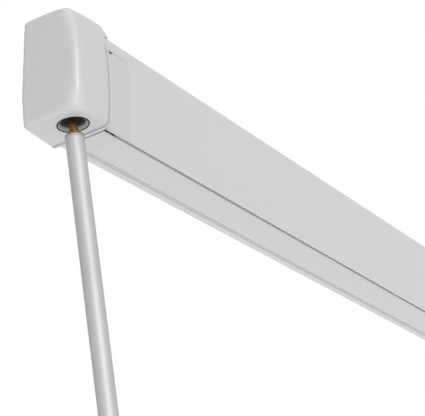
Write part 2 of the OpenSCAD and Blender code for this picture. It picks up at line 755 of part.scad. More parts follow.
// the flat of an elbow casting, from its tube's end to the boss on the pivot
module elbow_plate(y, z0, z1) {
    r = elbow_boss_d / 2;
    side = y > elbow_y ? 1 : -1;
    inner = y - side * arm_size / 2;
    outer = y + side * arm_size / 2;
    translate([0, 0, z0]) linear_extrude(z1 - z0)
        polygon([[tube_x1, outer], [tube_x1, inner], [-elbow_inset - r / 2, elbow_y - side * r * 0.86],
            [-elbow_inset + r * 0.7, elbow_y + side * r * 0.7]]);
    zcyl(-elbow_inset, elbow_y, z0, z1, elbow_boss_d);
}
module elbow_base(y) {
    h = arm_size / 2;
    box(tube_x1, tube_x1 + 8, y - h, y + h, arm_bottom, arm_top);
    arm_plug(tube_x1 - casting_plug, tube_x1 + eps, y);
}
module upper_elbow() {
    color(cast) {
        elbow_base(upper_y);
        elbow_plate(upper_y, arm_bottom, arm_bottom + fork_t);
        elbow_plate(upper_y, arm_top - fork_t, arm_top);
        zcyl(-elbow_inset, elbow_y, arm_bottom, arm_top, elbow_pin_d);
    }
}
module fore_elbow() {
    color(cast) difference() {
        union() {
            elbow_base(fore_y);
            elbow_plate(fore_y, arm_bottom + fork_t + pass_gap, arm_top - fork_t - pass_gap);
        }
        zcyl(-elbow_inset, elbow_y, arm_bottom, arm_top, elbow_pin_d + 2 * run_fit);
    }
}
module arm_spring() {
    x0 = tube_x0 + casting_plug;
    x1 = tube_x1 - casting_plug;
    color(steel) difference() {
        xcyl(x0, x1, upper_y, arm_z, spring_d);
        xcyl(x0 - 1, x1 + 1, upper_y, arm_z, spring_bore);
    }
}
module left_upper_tube() { arm_tube(upper_y); }
module left_upper_shoulder() { arm_knuckle(upper_y); }
module left_upper_elbow() { upper_elbow(); }
module left_arm_spring() { arm_spring(); }
module left_fore_tube() { arm_tube(fore_y); }
module left_fore_elbow() { fore_elbow(); }
module left_fore_wrist() { arm_knuckle(fore_y); }
module right_upper_tube() { flip(1) arm_tube(upper_y); }
module right_upper_shoulder() { flip(1) arm_knuckle(upper_y); }
module right_upper_elbow() { flip(1) upper_elbow(); }
module right_arm_spring() { flip(1) arm_spring(); }
module right_fore_tube() { flip(1) arm_tube(fore_y); }
module right_fore_elbow() { flip(1) fore_elbow(); }
module right_fore_wrist() { flip(1) arm_knuckle(fore_y); }

// Legs: the left one lies lowest, flush with the sloping underside; the right one lies above it.
// Each is drawn at the left end, along +x from its pivot, and the right one is mirrored.
hinge_ear = 4.5;
knuckle_w = leg_w - 12;
tube_start = 12;
leg_plug = 30;
leg_boss_d = 8.4;
hinge_eye_d = 8;
lip_clear = leg_boss_d / 2 + 0.2;
hinge_base_t = 1.8;
module leg_place(side) {
    flip(side) translate([-leg_x, leg_y, side > 0 ? leg_pivot_right : leg_pivot_left]) children();
}
// underside of a leg at a depth y from its middle, from the pivot's height
function leg_low(side, y) = side > 0 ? -leg_t / 2 : under_z(leg_y + y) - leg_pivot_left + 0.4;
module leg_block(side, x0, x1, inset) {
    w = leg_w / 2 - inset;
    along_x(x0, x1) polygon([[-w, leg_t / 2 - inset], [-w, leg_low(side, -w) + inset],
        [w, leg_low(side, w) + inset], [w, leg_t / 2 - inset]]);
}
inner_top = leg_t / 2 - leg_wall - pass_gap;
module leg_bar(x0, x1, grow) {
    w = inner_w / 2 + grow;
    box(x0, x1, -w, w, inner_top - inner_t - grow, inner_top + grow);
}
module leg_hinge(side) {
    pivot = side > 0 ? leg_pivot_right : leg_pivot_left;
    w = knuckle_w / 2 + pass_gap;
    color(dark) leg_place(side) {
        box(-14, 9, -w - hinge_ear, w + hinge_ear, shelf_bottom - hinge_base_t - pivot, shelf_bottom - pivot);
        for (y = [-w - hinge_ear, w]) {
            box(-hinge_eye_d / 2, hinge_eye_d / 2, y, y + hinge_ear, 0, shelf_bottom - pivot);
            ycyl(0, y, y + hinge_ear, 0, hinge_eye_d);
        }
        ycyl(0, -w - eps, w + eps, 0, leg_pin_d);
    }
}
module leg_knuckle(side) {
    w = knuckle_w / 2;
    color(dark) leg_place(side) difference() {
        union() {
            ycyl(0, -w, w, 0, leg_boss_d);
            box(0, tube_start, -w, w, inner_top - inner_t, inner_top);
            leg_bar(tube_start - eps, tube_start + leg_plug, 0);
        }
        ycyl(0, -w - 1, w + 1, 0, leg_pin_d + 2 * run_fit);
    }
}
// the lower leg's bottom wall runs on past the pivot and covers the hinge
module leg_lip() {
    w = leg_w / 2;
    along_x(-lip_back, tube_start + eps)
        polygon([[-w, -lip_clear], [-w, leg_low(-1, -w)], [w, leg_low(-1, w)], [w, -lip_clear]]);
}
module leg_outer(side) {
    color(alu) leg_place(side) difference() {
        union() {
            leg_block(side, tube_start, leg_len, 0);
            if (side < 0) leg_lip();
        }
        leg_block(side, tube_start - 1, leg_len + 1, leg_wall);
    }
}
module leg_collar(side) {
    color(dark) leg_place(side) difference() {
        leg_block(side, leg_len, leg_len + collar_len, 0);
        leg_bar(leg_len - 1, leg_len + collar_len + 1, 0.1);
    }
}
module leg_inner(side) {
    z = inner_top - inner_t / 2;
    color(alu) leg_place(side) difference() {
        union() {
            leg_bar(tube_start + leg_plug + 6, foot_pivot - 7, 0);
            box(foot_pivot - 7 - eps, foot_pivot, -7, 7, inner_top - inner_t, inner_top);
            ycyl(foot_pivot, -7, 7, z, inner_t);
        }
        leg_bar(tube_start, foot_pivot - 30, -inner_wall);
        ycyl(foot_pivot, -8, 8, z, 4 + 2 * run_fit);
    }
}
module leg_foot(side) {
    z = inner_top - inner_t / 2;
    slot = 7 + pass_gap;
    color(dark) leg_place(side) {
        difference() {
            box(foot_pivot - 3, foot_pivot + foot_len, -inner_w / 2, inner_w / 2, z - 4, z + 4);
            box(foot_pivot - 4, foot_pivot + 6, -slot, slot, z - 5, z + 5);
        }
        ycyl(foot_pivot, -slot - eps, slot + eps, z, 4);
    }
}
module left_leg_hinge() { leg_hinge(-1); }
module left_leg_knuckle() { leg_knuckle(-1); }
module left_leg_outer() { leg_outer(-1); }
module left_leg_collar() { leg_collar(-1); }
module left_leg_inner() { leg_inner(-1); }
module left_leg_foot() { leg_foot(-1); }
module right_leg_hinge() { leg_hinge(1); }
module right_leg_knuckle() { leg_knuckle(1); }
module right_leg_outer() { leg_outer(1); }
module right_leg_collar() { leg_collar(1); }
module right_leg_inner() { leg_inner(1); }
module right_leg_foot() { leg_foot(1); }

housing();
left_end_cap();
right_end_cap();
left_end_plate();
right_end_plate();
gearbox();
eye_bush();
wall_bracket_left();
wall_bracket_middle();
wall_bracket_right();
bracket_bolts();
left_shoulder_bracket();
right_shoulder_bracket();
roller_tube();
roller_drive_plug();
roller_idle_plug();
worm_wheel();
fabric_roll();
worm_shaft();
worm();
crank_tip();
crank_tube();
crank_knuckle();
crank_arm();
crank_spindle();
crank_sleeve();
fabric_run();
fabric_hem();
lead_rail();
left_rail_end();
right_rail_end();
left_wrist_bracket();
right_wrist_bracket();
left_leg_hinge();
right_leg_hinge();
left_upper_tube();
left_upper_shoulder();
left_upper_elbow();
left_arm_spring();
left_fore_tube();
left_fore_elbow();
left_fore_wrist();
right_upper_tube();
right_upper_shoulder();
right_upper_elbow();
right_arm_spring();
right_fore_tube();
right_fore_elbow();
right_fore_wrist();
left_leg_knuckle();
left_leg_outer();
left_leg_collar();
left_leg_inner();
left_leg_foot();
right_leg_knuckle();
right_leg_outer();
right_leg_collar();
right_leg_inner();
right_leg_foot();
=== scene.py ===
"""Looks of a roll out awning: a closed wall cassette with its crank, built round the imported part."""
import json
import math
import bmesh
import bpy
from mathutils import Matrix, Vector
from mathutils.bvhtree import BVHTree

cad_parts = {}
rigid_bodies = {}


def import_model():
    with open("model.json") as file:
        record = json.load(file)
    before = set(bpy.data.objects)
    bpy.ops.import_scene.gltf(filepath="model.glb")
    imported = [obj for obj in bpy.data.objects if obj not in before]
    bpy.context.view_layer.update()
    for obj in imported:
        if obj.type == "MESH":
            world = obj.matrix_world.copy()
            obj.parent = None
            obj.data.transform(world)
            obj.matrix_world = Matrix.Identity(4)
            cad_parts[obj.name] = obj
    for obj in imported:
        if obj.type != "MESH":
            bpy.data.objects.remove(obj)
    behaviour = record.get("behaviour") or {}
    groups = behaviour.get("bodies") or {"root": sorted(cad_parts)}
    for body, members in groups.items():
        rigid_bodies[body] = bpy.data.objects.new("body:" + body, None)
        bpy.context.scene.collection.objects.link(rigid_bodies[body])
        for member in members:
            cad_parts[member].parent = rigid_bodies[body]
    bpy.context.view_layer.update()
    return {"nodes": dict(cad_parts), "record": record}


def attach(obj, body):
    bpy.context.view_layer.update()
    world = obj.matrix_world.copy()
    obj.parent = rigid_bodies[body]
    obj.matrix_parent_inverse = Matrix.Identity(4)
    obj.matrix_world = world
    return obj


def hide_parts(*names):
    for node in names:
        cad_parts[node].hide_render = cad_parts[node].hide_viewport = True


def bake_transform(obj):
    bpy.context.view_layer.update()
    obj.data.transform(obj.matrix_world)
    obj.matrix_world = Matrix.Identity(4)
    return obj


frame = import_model()
nodes = frame["nodes"]
body_of_node = {n: b for b, ns in frame["record"]["behaviour"]["bodies"].items() for n in ns}
slot_of_node = {s["node"]: s["material_slot"] for s in frame["record"]["subparts"]}
scene = bpy.context.scene

# Sizes of the part, in metres
MM = 0.001
TILT = math.radians(7.2)
EYE = Vector((-1262.6, -67.368, -60.0)) * MM
CRANK_UP = Vector((0, math.sin(TILT), math.cos(TILT)))
CRANK_IN = Vector((0, math.cos(TILT), -math.sin(TILT)))
HALF = 1.295
JOINT_X = 1.23
RAIL_X = 1.227
FRONT_Y = -0.086868
FRONT_IN = -0.084668
TOP_Z = 0.058
CAP_TOP = 0.0758
CAP_BACK = -0.007
CAP_WALL = 0.0026
CAP_DROP = 0.0012

# Roller, cloth and the hem in the rail
ROLLER = Vector((0, -0.0371, 0.028))
ROLL_R, TUBE_R = 0.0256, 0.019
CLOTH_T, CLOTH_W, CLOTH_WOUND = 0.00045, 2.4, 2.1
RUN_BACK, RUN_FRONT, RUN_FLAT, RUN_DRAWN = -0.0391, -0.069018, 0.0305, 1.98
HEM = Vector((0, -0.078268, 0.048))
HEM_R, HEM_TAIL, HEM_PLY, HEM_FLAT = 0.00295, 0.00895, 0.0002, 0.030

# Legs: the tube's section, pivots and span, and the lower leg's bottom wall, which runs on past the pivot
LEG_X, LEG_Y, LEG_W, LEG_T, LEG_WALL = 1.207, -0.058368, 0.0454, 0.013, 0.0018
LEG_PIVOT_LEFT, LEG_PIVOT_RIGHT, LEG_SPAN = -0.0525, -0.0375, (0.012, 1.077)
LEG_SEAT, LEG_CLEAR = 0.00072, 0.0004
LIP_BACK, LIP_CLEAR, LIP_LAP = 0.012, 0.0044, 0.0005

# The rail's end piece and its rear lip
END_LEN, END_DROP, END_ROUND, END_GAP, END_CUT = 0.057, 0.013, 0.012, 0.00025, 0.0040
LIP_IN, LIP_OUT, LIP_LOW, LIP_FILL, LIP_SINK = -0.034868, -0.033068, -0.061606, 0.00093, 0.0019

# The crank's handle
REACH, SLEEVE_TOP, SLEEVE_LEN = 0.18, -1.2095, 0.13

# Angles in degrees past which an edge is shaded as sharp
SHARP, TURNED, MOULDED, EDGED, SEWN = 35, 30, 40, 50, 60
# Reach within which points are joined, or count as lying on an axis or a plane
WELD, ON_AXIS, TINY, NEAR = 2e-6, 1e-7, 1e-6, 1e-4


def under_z(y):
    """Height of the sloping underside at a depth y."""
    return EYE.z - (y - EYE.y) * math.tan(TILT)


def make_camera():
    """A camera at the photograph's place, found from the photograph's vanishing directions."""
    right, up = Vector((0.5034, -0.8633, -0.0350)), Vector((-0.2771, -0.1997, 0.9399))
    ahead = Vector((0.8184, 0.4634, 0.3398))
    place = EYE + Vector((-1.3581, -0.9468, -0.7036))
    data = bpy.data.cameras.new("camera")
    data.lens, data.sensor_width, data.clip_end = 133.6, 36, 60
    cam = bpy.data.objects.new("camera", data)
    cam.matrix_world = Matrix((
        (right.x, up.x, -ahead.x, place.x), (right.y, up.y, -ahead.y, place.y),
        (right.z, up.z, -ahead.z, place.z), (0, 0, 0, 1)))
    scene.collection.objects.link(cam)
    scene.camera = cam


make_camera()
scene.view_settings.view_transform = "Standard"


# Nodes and the maths on their sockets
class Sock:
    """One output socket; arithmetic on it adds Math nodes."""

    def __init__(self, maker, socket):
        self.maker, self.socket = maker, socket

    def _math(self, operation, *values):
        return self.maker.node("ShaderNodeMath", {"operation": operation}, dict(enumerate(values)))

    def __add__(self, other): return self._math("ADD", self, other)
    def __radd__(self, other): return self._math("ADD", other, self)
    def __sub__(self, other): return self._math("SUBTRACT", self, other)
    def __rsub__(self, other): return self._math("SUBTRACT", other, self)
    def __mul__(self, other): return self._math("MULTIPLY", self, other)
    def __rmul__(self, other): return self._math("MULTIPLY", other, self)
    def __lt__(self, other): return self._math("LESS_THAN", self, other)
    def __abs__(self): return self._math("ABSOLUTE", self)
    def sin(self): return self._math("SINE", self)
    def either(self, other): return self._math("MAXIMUM", self, other)
    def clamp(self): return self.maker.node("ShaderNodeClamp", {}, {0: self})


class NodeMaker:
    """A node tree, with one way to add a node to it."""

    def __init__(self, tree):
        self.tree = tree

    def node(self, kind, settings, values, out=0):
        """A new node's output; its settings are set first, then the values or links of its sockets."""
        made = self.tree.nodes.new(kind)
        for key, value in settings.items():
            setattr(made, key, value)
        for key, value in values.items():
            if isinstance(value, Sock):
                self.tree.links.new(value.socket, made.inputs[key])
            else:
                made.inputs[key].default_value = value
        return Sock(self, made.outputs[out])


class Finish(NodeMaker):
    """A material made of nodes round one Principled shader."""

    def __init__(self, name, **fixed):
        self.material = bpy.data.materials.new(name)
        self.material.use_nodes = True
        super().__init__(self.material.node_tree)
        self.shader = self.tree.nodes["Principled BSDF"]
        for socket, value in fixed.items():
            self.shader.inputs[socket.replace("_", " ")].default_value = value

    def place(self, scale=(1, 1, 1), turn=(0, 0, 0)):
        """The piece's own coordinates, scaled and turned."""
        spot = self.node("ShaderNodeTexCoord", {}, {}, "Object")
        return self.node("ShaderNodeMapping", {}, {"Vector": spot, "Scale": scale, "Rotation": turn})

    def along(self, axis):
        """One of the piece's own coordinates."""
        spot = self.node("ShaderNodeTexCoord", {}, {}, "Object")
        return self.node("ShaderNodeSeparateXYZ", {}, {0: spot}, axis)

    def noise(self, size, detail=3.0, stretch=(1, 1, 1), turn=(0, 0, 0)):
        """Noise whose grain is about size metres across."""
        return self.node("ShaderNodeTexNoise", {}, {
            "Vector": self.place(stretch, turn), "Scale": 1 / size, "Detail": detail})

    def attribute(self, name):
        return self.node("ShaderNodeAttribute", {"attribute_name": name}, {}, "Fac")

    def mix(self, share, low, high):
        """A share of the way from one colour to another."""
        return self.node("ShaderNodeMix", {"data_type": "RGBA"}, {
            0: share, 6: low if isinstance(low, Sock) else (*low, 1),
            7: high if isinstance(high, Sock) else (*high, 1)}, 2)

    def feed(self, socket, value):
        """Links a value to the shader."""
        self.tree.links.new(value.socket, self.shader.inputs[socket])

    def bump(self, height, distance, strength=1.0):
        self.feed("Normal", self.node("ShaderNodeBump", {}, {
            "Height": height, "Distance": distance, "Strength": strength}))


def grey(level, blue=0.0):
    """A grey with a share more of blue."""
    return (level, level, level * (1 + blue))


def shade(finish, dark, light, rough, patch=0.12, grain=0.0012, depth=0.00002, wear=0.0, groove_shade=0.0):
    """Two close tones in broad patches, uneven gloss, fine grain, paler worn edges and painted shade in
    grooves.
    """
    broad = finish.noise(patch, 4.0)
    colour = finish.mix((broad * 1.8 - 0.4).clamp(), dark, light)
    if wear:
        rubbed = (finish.attribute("worn_edge") * (finish.noise(0.006, 5.0) * 2.2 - 0.5)).clamp()
        colour = finish.mix(rubbed * wear, colour, tuple(min(1, c * 1.25) for c in light))
    # Painted shade: the marked groove floor is darkened towards half the dark tone, broken up by noise
    if groove_shade:
        shaded_floor = (finish.attribute("painted_groove_shade") * (finish.noise(0.012, 4.0) * 0.6 + 0.7)).clamp()
        colour = finish.mix(shaded_floor * groove_shade, colour, tuple(c * 0.5 for c in dark))
    finish.feed("Base Color", colour)
    finish.feed("Roughness", finish.noise(patch * 0.4, 3.0) * 0.12 + (rough - 0.06))
    finish.bump(finish.noise(grain, 2.0), depth)


def drawn(finish, dark, light, rough, stretch, depth, turn=(0, 0, 0)):
    """Metal with fine lines along the way that it was drawn or brushed."""
    lines = finish.noise(0.0009, 3.0, stretch, turn)
    cloud = finish.noise(0.09, 3.0)
    finish.feed("Base Color", finish.mix((lines * 0.6 + cloud * 0.7 - 0.15).clamp(), dark, light))
    finish.feed("Roughness", lines * 0.16 + (rough - 0.08))
    finish.bump(lines, depth)


# The cap's groove gets painted shade on its floor
cap_gloss = Finish("cap_gloss", Coat_Weight=0.12, Coat_Roughness=0.25, Specular_IOR_Level=0.3)
shade(cap_gloss, grey(0.595, 0.015), grey(0.625, 0.015), 0.3, grain=0.0009, depth=0.000006, groove_shade=0.5)

end_gloss = Finish("end_gloss", Coat_Weight=0.15, Coat_Roughness=0.2, Specular_IOR_Level=0.4)
shade(end_gloss, grey(0.585, 0.015), grey(0.61, 0.015), 0.35, grain=0.0009, depth=0.000006, wear=0.3)

rail_coat = Finish("rail_coat", Specular_IOR_Level=0.35)
drawn(rail_coat, grey(0.62, 0.02), grey(0.655, 0.02), 0.42, (0.004, 1, 1), 0.000006)

leg_coat = Finish("leg_coat", Specular_IOR_Level=0.35)
drawn(leg_coat, grey(0.60, 0.015), grey(0.635, 0.015), 0.45, (0.004, 1, 1), 0.000006)

satin_tube = Finish("satin_tube", Metallic=0.44, Specular_IOR_Level=0.05)
drawn(satin_tube, grey(0.45, 0.005), grey(0.53, 0.005), 0.58, (1, 1, 0.006), 0.000008, (-TILT, 0, 0))

arm_alloy = Finish("arm_alloy", Metallic=0.6)
drawn(arm_alloy, grey(0.52, 0.02), grey(0.60, 0.02), 0.42, (0.004, 1, 1), 0.00001)

cast_alloy = Finish("cast_alloy", Metallic=0.55)
shade(cast_alloy, grey(0.36, 0.03), grey(0.45, 0.03), 0.5, 0.03, 0.0008, 0.00006, wear=0.7)

black_mould = Finish("black_mould", Specular_IOR_Level=0.35)
shade(black_mould, grey(0.018, 0.06), grey(0.03, 0.06), 0.5, 0.04, 0.0005, 0.00003, wear=0.25)

hinge_grey = Finish("hinge_grey", Specular_IOR_Level=0.35)
shade(hinge_grey, grey(0.30, 0.02), grey(0.36, 0.02), 0.5, 0.04, 0.0005, 0.00003, wear=0.25)

bush_grey = Finish("bush_grey", Specular_IOR_Level=0.35)
shade(bush_grey, grey(0.48, 0.01), grey(0.55, 0.01), 0.32, 0.02, 0.0006, 0.00002)

# Near-black painted shade for the inside of the crank's eye
throat_grey = Finish("throat_grey", Specular_IOR_Level=0.2)
shade(throat_grey, grey(0.065, 0.01), grey(0.09, 0.01), 0.45, 0.02, 0.0006, 0.00002)

seal_black = Finish("seal_black", Specular_IOR_Level=0.15)
shade(seal_black, grey(0.008), grey(0.014), 0.45, 0.02, 0.0005, 0.00002)

zinc_steel = Finish("zinc_steel", Metallic=0.9)
shade(zinc_steel, grey(0.36, 0.04), grey(0.48, 0.05), 0.35, 0.01, 0.0006, 0.00002, wear=0.5)

dark_steel = Finish("dark_steel", Metallic=0.5, Specular_IOR_Level=0.2)
shade(dark_steel, grey(0.02, 0.04), grey(0.035, 0.05), 0.5, 0.01, 0.0006, 0.00002)

brass = Finish("brass", Metallic=0.95)
drawn(brass, (0.30, 0.165, 0.06), (0.48, 0.28, 0.12), 0.30, (1, 1, 0.2), 0.00001, (-TILT, 0, 0))


def woven(name, dark, light):
    """Awning cloth: a plain weave, slubs in both ways, and two welded seams that run along its length."""
    thread_pitch, seam_out, seam_half = 0.0011, 0.4, 0.009
    cloth = Finish(name, Specular_IOR_Level=0.2, Sheen_Weight=0.15)
    step = 2 * math.pi / thread_pitch
    width, way = cloth.along("X"), cloth.attribute("cloth_way")
    weave = (width * step).sin() * (way * step).sin()
    flat = cloth.node("ShaderNodeCombineXYZ", {}, {0: width, 1: way})
    weft = cloth.node("ShaderNodeMapping", {}, {"Vector": flat, "Scale": (0.02, 1, 1)})
    warp = cloth.node("ShaderNodeMapping", {}, {"Vector": flat, "Scale": (1, 0.02, 1)})
    yarns = [cloth.node("ShaderNodeTexNoise", {}, {"Vector": yarn, "Scale": 650.0, "Detail": 2.0})
             for yarn in (weft, warp)]
    slub = yarns[0] * 0.5 + yarns[1] * 0.5
    cloud = cloth.node("ShaderNodeTexNoise", {}, {"Vector": flat, "Scale": 3.5, "Detail": 3.0})
    tone = (slub * 0.9 + cloud * 0.5 + weave * 0.06 - 0.2).clamp()
    seam = abs(abs(width) - seam_out) < seam_half
    cloth.feed("Base Color", cloth.mix(seam * 0.35, cloth.mix(tone, dark, light), dark))
    cloth.feed("Roughness", slub * 0.2 + 0.7)
    cloth.bump(weave + slub * 0.8 + seam * 1.5, 0.00012, 0.6)
    return cloth


thread = Finish("thread", Specular_IOR_Level=0.2)
shade(thread, grey(0.30), grey(0.42), 0.75, 0.004, 0.0003, 0.00004)

cloth_grey = woven("cloth_grey", (0.20, 0.225, 0.245), (0.29, 0.32, 0.34))


# Making pieces
def new_piece(name, mesh, finish, body, slot, *replaced):
    """A finished mesh in the scene, riding on a body and standing for CAD nodes."""
    piece = bpy.data.objects.new(name, mesh)
    scene.collection.objects.link(piece)
    mesh.materials.clear()
    mesh.materials.append(finish.material)
    if body:
        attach(piece, body)
    if replaced:
        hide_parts(*replaced)
    return piece


def plain_mesh(holder):
    """The holder's mesh after its modifiers; the holder itself is dropped."""
    graph = bpy.context.evaluated_depsgraph_get()
    made = bpy.data.meshes.new_from_object(
        holder.evaluated_get(graph), preserve_all_data_layers=True, depsgraph=graph)
    bpy.data.objects.remove(holder)
    return made


def settled(mesh, modifiers):
    """The mesh after these modifiers, as a plain mesh."""
    holder = bpy.data.objects.new("holder", mesh)
    scene.collection.objects.link(holder)
    for kind, settings in modifiers:
        modifier = holder.modifiers.new(kind.lower(), kind)
        for key, value in settings.items():
            setattr(modifier, key, value)
    return plain_mesh(holder)


def mesh_of(shape, name):
    """A bmesh as a named mesh; the bmesh is freed."""
    mesh = bpy.data.meshes.new(name)
    shape.to_mesh(mesh)
    shape.free()
    return mesh


def soften(mesh, angle=SHARP):
    """Smooth shading, with the edges past an angle left sharp."""
    mesh.shade_smooth()
    mesh.set_sharp_from_angle(angle=math.radians(angle))
    return mesh


def merged_copy(node):
    """A CAD node's shape, with its doubled points joined and its flat faces made whole."""
    flat = math.radians(0.4)
    shape = bmesh.new()
    shape.from_mesh(nodes[node].data)
    bmesh.ops.remove_doubles(shape, verts=shape.verts, dist=WELD)
    bmesh.ops.dissolve_limit(shape, angle_limit=flat, verts=shape.verts, edges=shape.edges)
    return shape


def edged(mesh, width):
    """Rounds the sharp edges and marks the rounded faces as worn_edge."""
    # A second material tells the rounded faces apart until they are marked
    mesh.materials.clear()
    for finish in (rail_coat, black_mould):
        mesh.materials.append(finish.material)
    made = settled(mesh, [("BEVEL", {
        "width": width, "segments": 2, "limit_method": "ANGLE", "angle_limit": math.radians(SHARP),
        "use_clamp_overlap": True, "material": 1, "miter_outer": "MITER_ARC"})])
    worn = made.attributes.new("worn_edge", "FLOAT", "FACE")
    worn.data.foreach_set("value", [float(p.material_index == 1) for p in made.polygons])
    made.polygons.foreach_set("material_index", [0] * len(made.polygons))
    return settled(soften(made, EDGED), [("WEIGHTED_NORMAL", {"keep_sharp": True, "weight": 60})])


def machined(node, finish, width=0.0, fitted=None):
    """A CAD node with rounded edges and smooth round faces, after small moves of its points by fitted."""
    mesh = mesh_of(merged_copy(node), node)
    if fitted:
        for v in mesh.vertices:
            v.co = fitted(*v.co)
    mesh = edged(mesh, width) if width else soften(mesh)
    return new_piece("finished_" + node, mesh, finish, body_of_node[node], slot_of_node[node], node)


def lathe(outline, origin, axis, side, steps=72):
    """A closed outline of (radius, height) turned about an axis."""
    third = axis.cross(side)
    shape = bmesh.new()
    rings = []
    for k in range(steps):
        a = 2 * math.pi * k / steps
        out = side * math.cos(a) + third * math.sin(a)
        rings.append([shape.verts.new(origin + out * r + axis * h) for r, h in outline])
    count = len(outline)
    for k in range(steps):
        here, there = rings[k], rings[(k + 1) % steps]
        for i in range(count):
            j = (i + 1) % count
            if outline[i][0] < ON_AXIS and outline[j][0] < ON_AXIS:
                continue
            shape.faces.new((here[i], there[i], there[j], here[j]))
    bmesh.ops.remove_doubles(shape, verts=shape.verts, dist=ON_AXIS)
    bmesh.ops.recalc_face_normals(shape, faces=shape.faces)
    return shape


def crank_lathe(name, outline, finish, body, slot, *replaced, base=EYE):
    """A turned piece on the crank's axis, or on a line beside it."""
    mesh = mesh_of(lathe(outline, base, CRANK_UP, CRANK_IN), name)
    return new_piece(name, soften(mesh, TURNED), finish, body, slot, *replaced)


# End caps: rings of the cap's corners wrapped by a hull, then laid over with an even grid.
# Radii of the corners seen from above, and of the edges seen from the side
FRONT_R, FOOT_R, SIDE_R = 0.009, 0.020, 0.005
LOW_R, TOP_R, HEEL_R, WAIST_R = 0.008, 0.006, 0.004, 0.001
# The nose's profile from the foot up, and the outer side's back edge at its foot, waist and top
NOSE_OUT = 0.0113
NOSE = [FRONT_Y - NOSE_OUT + back for back in (0.0008, 0, 0.0006, 0.0024, 0.0054, 0.0145)]
NOSE_Z = [EYE.z + rise for rise in (0, 0.032, 0.066, 0.088, 0.104)]
SIDE_BACK = [EYE.y + back - SIDE_R for back in (0.0475, 0.0502, 0.0472)]
SIDE_TOP = CAP_TOP - 0.0086
CROWN_Y, CROWN_DROP = NOSE[5] * 0.6 + SIDE_BACK[2] * 0.4, 0.0008
# The slanted back, and how far the hull runs past the joint with the rail
SLANT, SLANT_RISE, SLANT_DROP = 0.028, 0.009, 0.002
HULL_PAST, HEEL_BACK = 0.03, 0.054
RING_STEPS, EDGE_STEPS = 64, 12


def low_ring(x, y, r, edge):
    """A ring that stands on the sloping underside."""
    z = under_z(y) - CAP_DROP + ((r - edge) * math.sin(TILT) + edge) / math.cos(TILT)
    return x, y, z, r, edge


# Each ring is x past the cap's outer side, y, z, its radius and its edge's radius
CAP_RINGS = [low_ring(FOOT_R, NOSE[0] + FOOT_R, FOOT_R, LOW_R)]
CAP_RINGS += [(FRONT_R, NOSE[k] + FRONT_R, NOSE_Z[k], FRONT_R, WAIST_R) for k in range(1, 5)]
CAP_RINGS += [
    (FRONT_R, NOSE[5] + FRONT_R, CAP_TOP - TOP_R, FRONT_R, TOP_R),
    low_ring(SIDE_R, SIDE_BACK[0], SIDE_R, HEEL_R),
    (SIDE_R, SIDE_BACK[1], NOSE_Z[1], SIDE_R, WAIST_R),
    (SIDE_R, SIDE_BACK[2], SIDE_TOP - HEEL_R, SIDE_R, HEEL_R),
    (TOP_R, CROWN_Y, CAP_TOP - CROWN_DROP - TOP_R, TOP_R, TOP_R),
    (SLANT + SIDE_R, CAP_BACK - SIDE_R, EYE.z + SLANT_RISE, SIDE_R, WAIST_R),
    (SLANT + SIDE_R, CAP_BACK - SIDE_R, SIDE_TOP - SLANT_DROP - HEEL_R, SIDE_R, HEEL_R)]


def cap_hull():
    """The convex hull of the left cap's rings, at its outer side and past the joint with the rail."""
    rings = [(x + ring[0], *ring[1:]) for x in (-HALF, -JOINT_X + HULL_PAST - SLANT) for ring in CAP_RINGS]
    rings.append(low_ring(-JOINT_X + SIDE_R, EYE.y + HEEL_BACK - SIDE_R, SIDE_R, HEEL_R))
    shape = bmesh.new()
    for x, y, z, r, edge in rings:
        for k in range(RING_STEPS):
            a = 2 * math.pi * k / RING_STEPS
            for i in range(EDGE_STEPS + 1):
                b = math.pi * (i / EDGE_STEPS - 0.5)
                reach = r - edge + edge * math.cos(b)
                shape.verts.new((x + reach * math.cos(a), y + reach * math.sin(a), z + edge * math.sin(b)))
    bmesh.ops.convex_hull(shape, input=shape.verts)
    loose = [v for v in shape.verts if not v.link_faces]
    bmesh.ops.delete(shape, geom=loose, context="VERTS")
    return shape


# The inner rim, the groove beside it, which fades out towards the top, and the shoulder over the rail
RIM_X = -JOINT_X + 0.0024
GROOVE = [RIM_X - inset for inset in (0.0084, 0.0078, 0.0022, 0.0016)]
GROOVE_DEPTH, GROOVE_TOP, GROOVE_FADE = 0.0009, 0.056, 0.02
SHOULDER_LOW, SHOULDER_TOP, SHOULDER_OUT, SHOULDER_BACK = 0.0588, CAP_TOP + 0.001, 0.0085, -0.045
# The grid that is laid over the hull: its box, and its cuts along each edge
GRID_LOW, GRID_PAST, GRID_CUTS = -0.072, 0.06, 71
# The front edge that is eased, which gets broader towards the top, and the eased steps round the peak in mm
EDGE_IN, EDGE_FOOT, EDGE_BACK, EDGE_GROW, EDGE_FROM, EDGE_RISE = 0.024, 0.014, 0.026, 0.014, 0.03, 0.043
PEAK_STEPS = range(52, 18, -3)
EVEN_TIMES, EDGE_TIMES, PEAK_TIMES = 3, 22, 5
EYE_R, EYE_REACH = 0.017, 0.02


def ease(shape, points, times):
    """Smooths some points of a shape."""
    for _ in range(times):
        bmesh.ops.smooth_vert(
            shape, verts=points, factor=0.5, use_axis_x=True, use_axis_y=True, use_axis_z=True)


def cut(shape, point, normal, clear=False):
    """Cuts a shape's faces along a plane, and can drop what lies past it."""
    bmesh.ops.bisect_plane(
        shape, geom=shape.verts[:] + shape.edges[:] + shape.faces[:], plane_co=point, plane_no=normal,
        clear_outer=clear)


def on_front_edge(point):
    """Whether a point of the left cap lies on the long edge between its front and its outer side."""
    back = EDGE_BACK + EDGE_GROW * max(0, (point.z - EDGE_FROM) / EDGE_RISE)
    return point.x < -HALF + EDGE_IN and point.z > EYE.z + EDGE_FOOT and point.y < NOSE[1] + back


